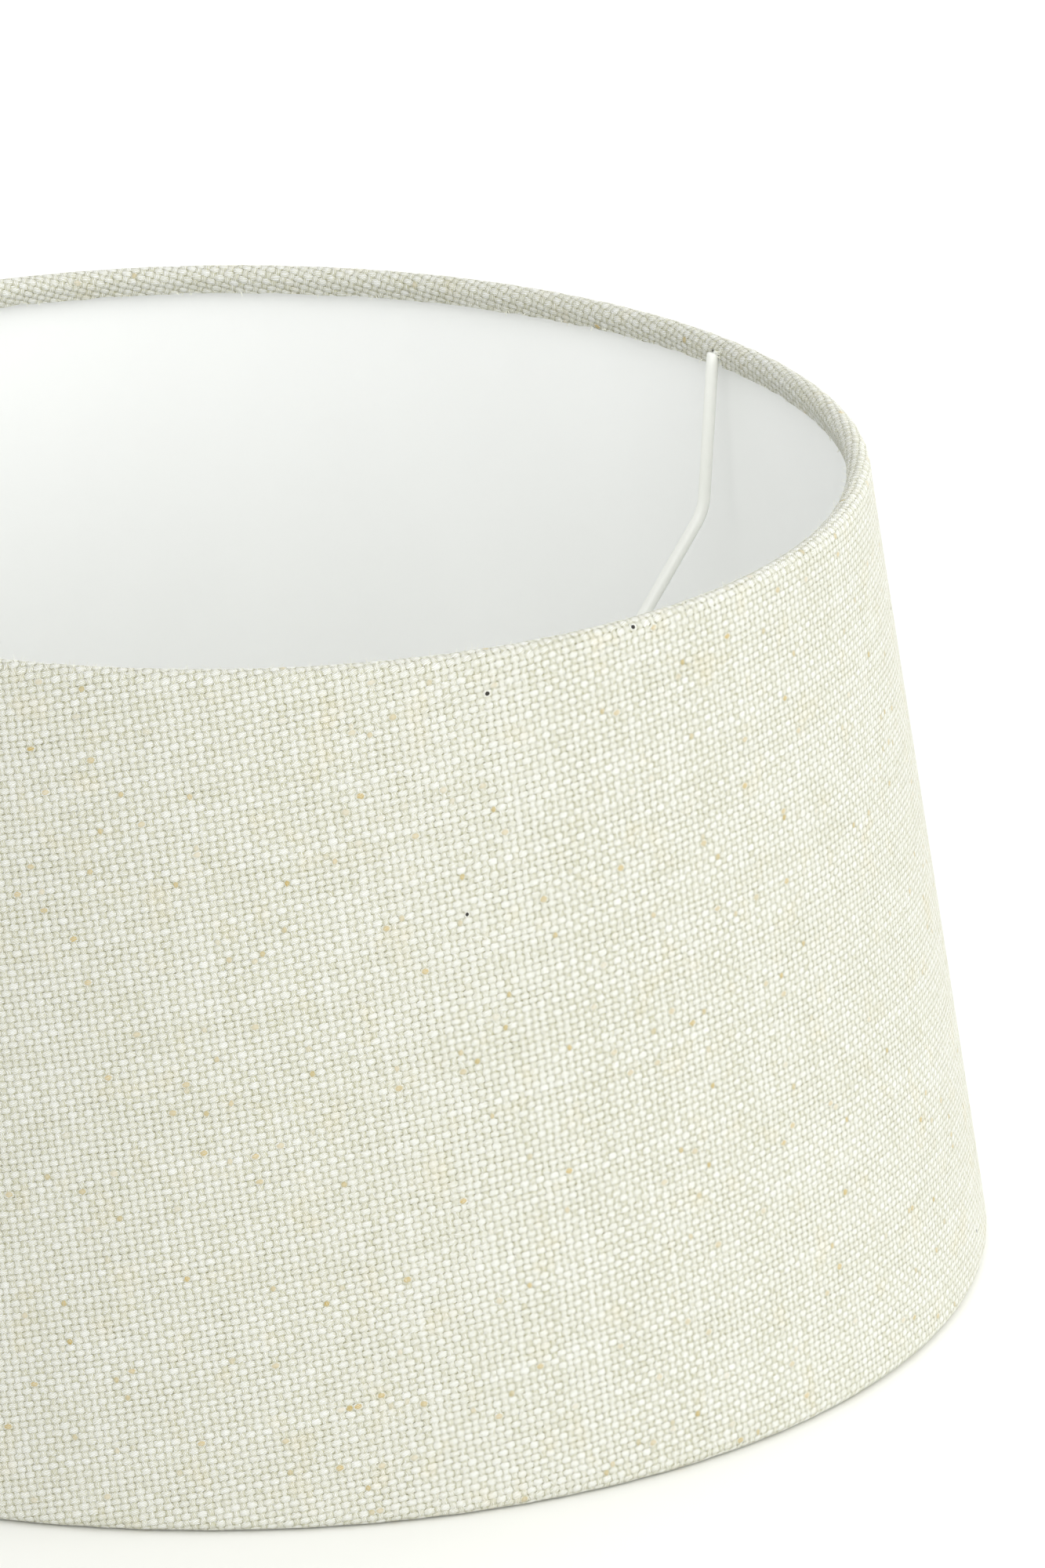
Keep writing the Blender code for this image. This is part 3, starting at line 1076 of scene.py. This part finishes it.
def strands_mesh(name: str, strands: Iterable[Strand], sides: int, closed: bool = False) -> bpy.types.Mesh:
    """Mesh round strands.

    Args:
        name: The mesh's name.
        strands: The strands.
        sides: How many sides each has.
        closed: Whether each is a ring, with no ends.

    Returns:
        A mesh with one closed body for each strand.
    """
    points: list[np.ndarray] = []
    faces: list[list[int]] = []
    angles = np.arange(sides)[:, None] * FULL_TURN / sides
    count = 0
    for strand in strands:
        centres, radii = strand.centres, strand.radii[:, None, None]
        if closed:
            ahead = np.roll(centres, -1, axis=0) - np.roll(centres, 1, axis=0)
        else:
            ahead = np.gradient(centres, axis=0)
        ahead /= np.linalg.norm(ahead, axis=1, keepdims=True)
        across = np.eye(3)[np.abs(ahead).mean(axis=0).argmin()]
        across = across - ahead * (ahead @ across)[:, None]
        across /= np.linalg.norm(across, axis=1, keepdims=True)
        beside = np.cross(ahead, across)
        around = np.cos(angles) * across[:, None] + np.sin(angles) * beside[:, None]
        points.append((centres[:, None] + radii * around).reshape(-1, 3))
        faces += (join_rings(len(centres), sides, closed) + count).tolist()
        ends = count + len(centres) * sides
        if not closed:
            faces += [list(reversed(range(count, count + sides))), list(range(ends - sides, ends))]
        count = ends
    return smooth_mesh(name, np.concatenate(points), faces)


@dataclass
class RingWire:
    """Wire ring, closed by a butt weld whose flash was ground back to a low collar."""

    line: WireLine
    name: str
    node: str
    weld_turn: float = radians(205)
    weld_length: float = 1.3 * MM  # from its middle to where it fades
    weld_height: float = 0.12 * MM
    steps: int = 480
    sides: int = 16

    def build(self, finish: bpy.types.Material) -> bpy.types.Object:
        """Make the ring.

        Args:
            finish: The coated wire.

        Returns:
            The piece.
        """
        turn = np.arange(self.steps) * FULL_TURN / self.steps
        away = (turn - self.weld_turn) * self.line.radius / self.weld_length
        radii = self.line.wire + self.weld_height * np.exp(-(away**2))
        strand = Strand(swing(self.line.radius, turn, self.line.height), radii)
        mesh = strands_mesh(self.name, [strand], self.sides, closed=True)
        return add_piece(self.name, mesh, finish, [self.node])


@dataclass
class BentArm:
    """Bent wire arm: down beside the wall, in towards the middle, then level onto the fitter ring."""

    number: int
    turn: float
    top: WireLine
    fitter_radius: float
    fitter_inner: float
    fitter_top: float
    clearance: float = 0.3 * MM
    knee_drop: float = 35 * MM
    knee_inset: float = 2.2 * MM
    bend_radius: float = 10 * MM
    foot_reach: float = 11 * MM
    foot_inset: float = 1.5 * MM
    rim_height: float = 160 * MM
    bend_steps: int = 14
    run_steps: int = 24
    sides: int = 20
    end_size: float = 0.78  # the sheared ends' radius, as a share of the wire's
    edge_size: float = 0.995  # and that of the wire where their broken edge starts
    edge_length: float = 0.25  # the broken edge's, as a share of a step
    bead_size: float = 0.62 * MM
    bead_rise: float = 0.35 * MM
    bead_side: float = 1.15 * MM
    bead_inset: float = 0.4 * MM
    bead_ripples: int = 5
    joint_size: float = 1.25 * MM
    joint_drop: float = 0.6 * MM
    weld_end: float = 0.02  # how full a weld starts and ends
    weld_ripple: float = 0.09  # of its radius
    weld_steps: int = 24
    weld_sides: int = 14

    @property
    def wire(self) -> float:
        """The wire's radius, which is the ring's own."""
        return self.top.wire

    @property
    def foot_height(self) -> float:
        """The height of the level foot's middle."""
        return self.fitter_top + self.clearance + self.wire

    @property
    def end_radius(self) -> float:
        """How far from the axis the upper end stands."""
        return self.top.radius - self.top.wire - self.clearance - self.wire

    @property
    def spin(self) -> Matrix:
        """The turn to the arm's own place."""
        return Matrix.Rotation(self.turn, 3, "Z")

    def bend(self, before: Vector, corner: Vector, after: Vector) -> list[Vector]:
        """Round a corner of the route.

        Args:
            before: The route's point before it.
            corner: The sharp corner.
            after: The route's point after it.

        Returns:
            Points of the arc that touches both runs.
        """
        back, ahead = (before - corner).normalized(), (after - corner).normalized()
        half = back.angle(ahead) / 2
        middle = corner + (back + ahead).normalized() * self.bend_radius / sin(half)
        first = (corner + back * self.bend_radius / tan(half) - middle).normalized()
        last = (corner + ahead * self.bend_radius / tan(half) - middle).normalized()
        shares = [k / self.bend_steps for k in range(self.bend_steps + 1)]
        return [middle + first.slerp(last, share) * self.bend_radius for share in shares]

    def route(self) -> np.ndarray:
        """Run the wire from the top ring to the fitter ring, and turn it to the arm's own place.

        Returns:
            The points of its middle.
        """
        end = Vector((self.end_radius, 0, self.top.height))
        knee = Vector((self.end_radius - self.knee_inset, 0, self.rim_height - self.knee_drop))
        heel = Vector((self.fitter_radius + self.foot_reach, 0, self.foot_height))
        toe = Vector((self.fitter_inner + self.foot_inset, 0, self.foot_height))
        upper, lower = self.bend(end, knee, heel), self.bend(knee, heel, toe)
        points = []
        runs = ((end, upper[0], upper), (upper[-1], lower[0], lower), (lower[-1], toe, []))
        for first, last, bend in runs:
            points += [first.lerp(last, k / self.run_steps) for k in range(self.run_steps + 1)]
            points += bend[1:-1]
        return np.array([self.spin @ point for point in points])

    def weld(self, first: Vector, last: Vector, radius: float, ripples: int) -> Strand:
        """Lay a bead of weld, swollen in the middle and rippled along it.

        Args:
            first: Where it starts, before the arm is turned to its place.
            last: Where it ends.
            radius: Its radius in the middle.
            ripples: How many ripples it has.

        Returns:
            The bead.
        """
        share = np.linspace(0, 1, self.weld_steps + 1)
        start, end = np.array(self.spin @ first), np.array(self.spin @ last)
        swell = np.sqrt(np.clip(1 - (2 * share - 1) ** 2, self.weld_end, 1))
        ripple = 1 + self.weld_ripple * np.cos(share * ripples * FULL_TURN)
        return Strand(start + (end - start) * share[:, None], radius * swell * ripple)

    def welds(self) -> list[Strand]:
        """Weld the foot to the fitter ring on both sides, and the end to the top ring.

        Returns:
            The three beads.
        """
        height = self.fitter_top + self.bead_rise
        first = self.fitter_inner + self.foot_inset + self.bead_inset
        last = self.fitter_radius - self.bead_inset
        beads = []
        for side in (-self.bead_side, self.bead_side):
            start, end = Vector((first, side, height)), Vector((last, side, height))
            beads.append(self.weld(start, end, self.bead_size, self.bead_ripples))
        height = self.top.height - self.joint_drop
        start = Vector((self.end_radius + self.clearance, 0, height))
        end = Vector((self.top.radius - self.clearance, 0, height))
        return [*beads, self.weld(start, end, self.joint_size, 1)]

    def build(self, finish: bpy.types.Material) -> list[bpy.types.Object]:
        """Make the arm and its welds.

        Args:
            finish: The coated wire.

        Returns:
            The arm, and the welds at both its ends as one piece.
        """
        route = self.route()
        radii = np.full(len(route), self.wire)
        for tip, next_one in ((0, 1), (-1, -2)):
            radii[tip] *= self.end_size
            radii[next_one] *= self.edge_size
            route[next_one] = route[tip] + (route[next_one] - route[tip]) * self.edge_length
        name = f"arm_wire_{self.number}"
        mesh = strands_mesh(name, [Strand(route, radii)], self.sides)
        arm = add_piece(name, mesh, finish, [f"arm_{self.number}"])
        name = f"arm_welds_{self.number}"
        return [arm, add_piece(name, strands_mesh(name, self.welds(), self.weld_sides), finish)]


@dataclass
class FitterRing:
    """Flat ring stamped from steel plate: a rounded edge above, where the punch drew it in."""

    hole_radius: float = 21 * MM
    upper_edge: float = 0.55 * MM
    lower_edge: float = 0.20 * MM
    edge_steps: int = 5
    steps: int = 192

    def section(self, outer: float, low: float, high: float) -> list[tuple[float, float]]:
        """Round the four corners of the ring's section.

        Args:
            outer: The ring's outer radius.
            low: Its lower face's height.
            high: Its upper face's height.

        Returns:
            Radii and heights round the section.
        """
        corners = (
            (outer, high, -1, -1, self.upper_edge, 0.0),
            (self.hole_radius, high, 1, -1, self.upper_edge, pi / 2),
            (self.hole_radius, low, 1, 1, self.lower_edge, pi),
            (outer, low, -1, 1, self.lower_edge, 3 * pi / 2),
        )
        points = []
        for radius, height, inward, upward, edge, first in corners:
            for k in range(self.edge_steps + 1):
                angle = first + k / self.edge_steps * pi / 2
                points.append(
                    (radius + edge * (inward + cos(angle)), height + edge * (upward + sin(angle)))
                )
        return points

    def build(self, finish: bpy.types.Material) -> bpy.types.Object:
        """Turn the section into the ring.

        Args:
            finish: The coated plate.

        Returns:
            The piece.
        """
        low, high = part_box("fitter_ring")
        section = np.array(self.section(high.x, low.z, high.z))
        turn = np.arange(self.steps)[:, None] * FULL_TURN / self.steps
        points = swing(section[:, 0], turn, section[:, 1]).reshape(-1, 3)
        # The section runs the other way round than a strand does, so its faces are turned over.
        faces = join_rings(self.steps, len(section), closed=True)[:, ::-1]
        mesh = smooth_mesh("fitter_plate", points, faces.tolist())
        return add_piece("fitter_plate", mesh, finish, ["fitter_ring"])


@dataclass(frozen=True)
class Fringe:
    """How a set of loose ends leaves the cloth."""

    count: int
    shortest: float
    longest: float
    lift: float  # how much they stand away from the cloth
    stray: float  # how much they point aside
    depth: tuple[float, float]  # between which distances from the cloth's middle they start


@dataclass
class LooseFlax:
    """Yarn ends that fray out of the cut hem, and the nap of single fibres on the cloth."""

    cover: LinenCover
    notch_ends: Fringe = Fringe(16, 0.8 * MM, 1.9 * MM, 0.5, 0.3, (-0.3 * MM, 0.3 * MM))
    hem_ends: Fringe = Fringe(260, 0.6 * MM, 1.6 * MM, 0.25, 0.35, (-0.3 * MM, 0.35 * MM))
    rim_nap: Fringe = Fringe(2600, 0.4 * MM, 1.5 * MM, 0.8, 0.6, (0.36 * MM, 0.36 * MM))
    wall_nap: Fringe = Fringe(1400, 0.4 * MM, 1.1 * MM, 0.8, 0.6, (0.36 * MM, 0.36 * MM))
    notch_clearance: float = 1.1  # where its ends start, as a share of half the notch
    hem_root: float = 0.5 * MM  # how far in from the hem its ends start
    bends: int = 3  # along a fibre
    bend: float = 0.35  # how much it turns at each
    end_taper: tuple[float, ...] = (0.14 * MM, 0.133 * MM, 0.112 * MM, 0.042 * MM)
    hem_end_size: float = 0.8  # of the other ends'
    # Coarser than flax fibres, which are too fine to show.
    fibre_taper: tuple[float, ...] = (0.035 * MM, 0.0315 * MM, 0.0245 * MM, 0.01225 * MM)
    end_sides: int = 5
    fibre_sides: int = 3
    seed: int = 21

    def sprout(
        self,
        draw: np.random.Generator,
        fringe: Fringe,
        root: np.ndarray,
        facing: np.ndarray,
        way: np.ndarray,
    ) -> np.ndarray:
        """Grow a fibre out of the cloth.

        Args:
            draw: The source of chance.
            fringe: The set that it belongs to.
            root: Where it leaves the cloth.
            facing: The way that the cloth faces there.
            way: The way along the cloth in which it sets off.

        Returns:
            Points along it, which bend off slowly.
        """
        way = way + fringe.lift * facing + draw.normal(0, fringe.stray, 3)
        way /= np.linalg.norm(way)
        length = draw.uniform(fringe.shortest, fringe.longest)
        points = [root]
        for _ in range(self.bends):
            way = way + draw.normal(0, self.bend, 3)
            way = way / np.linalg.norm(way)
            points.append(points[-1] + way * length / self.bends)
        return np.array(points)

    def on_cloth(self, row: Row, turn: float, out: float) -> tuple[np.ndarray, np.ndarray]:
        """Return the point of a row at a turn, out from the cloth's middle, and the way it faces."""
        facing = swing(cos(row.tilt), turn, sin(row.tilt))
        return swing(row.radius, turn, row.height) + facing * out, facing

    def frays(self, draw: np.random.Generator, rows: list[Row]) -> list[Strand]:
        """Fray the cloth at the notches and along the upper hem.

        Args:
            draw: The source of chance.
            rows: The cloth's rows.

        Returns:
            The yarn ends.
        """
        strands = []
        taper = np.array(self.end_taper)
        top = self.cover.form.top
        hem = [row for row in rows if row.band == Band.HEM and row.height > top.height / 2]
        half = self.notch_clearance * self.cover.notch / top.radius
        for turn in self.cover.arm_turns:
            for k in range(self.notch_ends.count):
                side = 1 if k % 2 else -1
                row = hem[draw.integers(0, len(hem))]
                out = draw.uniform(*self.notch_ends.depth)
                root, facing = self.on_cloth(row, turn + side * half, out)
                way = side * np.array([sin(turn), -cos(turn), 0.0])
                strands.append(Strand(self.sprout(draw, self.notch_ends, root, facing, way), taper))
        down = np.array([0.0, 0.0, -1.0])
        for _ in range(self.hem_ends.count):
            turn, out = draw.uniform(0, FULL_TURN), draw.uniform(*self.hem_ends.depth)
            root, facing = self.on_cloth(rows[-1], turn, out)
            points = self.sprout(draw, self.hem_ends, root - down * self.hem_root, facing, down)
            strands.append(Strand(points, taper * self.hem_end_size))
        return strands

    def nap(self, draw: np.random.Generator, rows: list[Row]) -> list[Strand]:
        """Raise single fibres on the upper rolled edge and the wall.

        Args:
            draw: The source of chance.
            rows: The cloth's rows.

        Returns:
            The fibres.
        """
        strands = []
        taper = np.array(self.fibre_taper)
        middle = self.cover.form.top.height / 2
        rims = [row for row in rows if row.band == Band.ROLL and row.height > middle]
        walls = [row for row in rows if row.band == Band.WALL]
        for choice, fringe in ((rims, self.rim_nap), (walls, self.wall_nap)):
            for _ in range(fringe.count):
                row, turn = choice[draw.integers(0, len(choice))], draw.uniform(0, FULL_TURN)
                root, facing = self.on_cloth(row, turn, fringe.depth[0])
                strands.append(Strand(self.sprout(draw, fringe, root, facing, np.zeros(3)), taper))
        return strands

    def build(self, finish: bpy.types.Material) -> list[bpy.types.Object]:
        """Make the frayed ends and the nap.

        Args:
            finish: Loose flax.

        Returns:
            The two pieces.
        """
        draw = np.random.default_rng(self.seed)
        rows = self.cover.rows()
        frays = strands_mesh("frayed_ends", self.frays(draw, rows), self.end_sides)
        nap = strands_mesh("linen_nap", self.nap(draw, rows), self.fibre_sides)
        return [
            add_piece("frayed_ends", frays, finish),
            add_piece("linen_nap", nap, finish),
        ]


# ---------------------------------------------------------------- studio


@dataclass(frozen=True)
class SoftLight:
    """A wide light far off, such as a white wall or a veiled window."""

    name: str
    turn: float
    climb: float
    strength: float
    spread: float = radians(60)


@dataclass
class Studio:
    """White paper floor, wide soft light from low on three sides and a long lens above the rim."""

    camera_place: tuple[float, float, float] = (-0.18084, -1.98712, 0.82270)
    heading: float = radians(6.869)  # to the right of straight ahead
    pitch: float = radians(20.101)  # downwards
    roll: float = radians(-0.080)
    lens: float = 250.47
    farthest: float = 50.0
    floor_size: float = 14.0
    floor_gap: float = 0.2 * MM
    sky: str = "fbfcff"
    sky_strength: float = 0.78
    seen_strength: float = 1.0
    lights: tuple[SoftLight, ...] = (
        SoftLight("front_light", radians(-100), radians(25), 1.22),
        SoftLight("side_light", radians(-20), radians(25), 1.52),
        SoftLight("back_light", radians(60), radians(25), 1.50),
    )

    def place_camera(self) -> None:
        """Add the camera and make it the scene's."""
        data = bpy.data.cameras.new("camera")
        data.lens = self.lens
        data.clip_end = self.farthest
        camera = bpy.data.objects.new("camera", data)
        turned = Matrix.Rotation(-self.heading, 4, "Z") @ Matrix.Rotation(pi / 2 - self.pitch, 4, "X")
        camera.matrix_world = (
            Matrix.Translation(self.camera_place) @ turned @ Matrix.Rotation(self.roll, 4, "Z")
        )
        bpy.context.scene.collection.objects.link(camera)
        bpy.context.scene.camera = camera

    def place_light(self, light: SoftLight) -> None:
        """Add a far, wide light.

        Args:
            light: Where it stands and how strong it is.
        """
        data = bpy.data.lights.new(light.name, "SUN")
        data.energy = light.strength
        data.angle = light.spread
        lamp = bpy.data.objects.new(light.name, data)
        lamp.rotation_euler = (0, pi / 2 - light.climb, light.turn)
        bpy.context.scene.collection.objects.link(lamp)

    def lay_floor(self, finish: bpy.types.Material) -> None:
        """Lay the paper just under the shade.

        Args:
            finish: The paper.
        """
        half, level = self.floor_size / 2, -self.floor_gap
        mesh = bpy.data.meshes.new("floor")
        corners = [(-half, -half, level), (half, -half, level), (half, half, level), (-half, half, level)]
        mesh.from_pydata(corners, [], [(0, 1, 2, 3)])
        mesh.materials.append(finish)
        floor = bpy.data.objects.new("floor", mesh)
        bpy.context.scene.collection.objects.link(floor)

    def build(self) -> None:
        """Set up the whole studio."""
        world = bpy.data.worlds.new("studio")
        world.use_nodes = True
        world.node_tree.nodes.clear()
        tree = world.node_tree
        lit, seen = (
            add_node(tree, "ShaderNodeBackground", {"Color": linear_colour(self.sky), "Strength": strength})
            for strength in (self.sky_strength, self.seen_strength)
        )
        path = add_node(tree, "ShaderNodeLightPath").outputs["Is Camera Ray"]
        sky = add_node(tree, "ShaderNodeMixShader", {0: path, 1: lit, 2: seen})
        add_node(tree, "ShaderNodeOutputWorld", {"Surface": sky})
        bpy.context.scene.world = world
        bpy.context.scene.view_settings.view_transform = "Standard"
        self.lay_floor(PAPER.make())
        for light in self.lights:
            self.place_light(light)
        self.place_camera()


def report(pieces: Iterable[bpy.types.Object]) -> None:
    """Log each piece and how many faces it has."""
    for piece in pieces:
        log.info("%s: %d faces", piece.name, len(piece.data.polygons))


def main() -> None:
    """Build the shade from the outside in, then its studio."""
    logging.basicConfig(level=logging.INFO, format="%(name)s: %(message)s")
    bottom, top = WireLine.from_node("bottom_ring"), WireLine.from_node("top_ring")
    arm_turns = tuple(radians(turn) for turn in (30, 150, 270))

    cover = LinenCover(ShadeForm(bottom, top), arm_turns)
    linen = cover.build(LINEN.make())
    loose = LooseFlax(cover).build(FLAX.make())
    cloth_size, cloth_area = cover.flat_size(cover.rows())
    report([linen, *loose])
    report(Lining(cover).build(PVC.make(), TAPE.make()))

    wire = WIRE.make()
    for line, name in ((bottom, "bottom_ring"), (top, "top_ring")):
        report([RingWire(line, f"{name}_wire", name).build(wire)])
    _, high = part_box("fitter_ring")
    fitter = FitterRing()
    report([fitter.build(PLATE.make())])
    for number, turn in enumerate(arm_turns, start=1):
        report(BentArm(number, turn, top, high.x, fitter.hole_radius, high.z).build(wire))

    Studio().build()


if __name__ == "__main__":
    main()
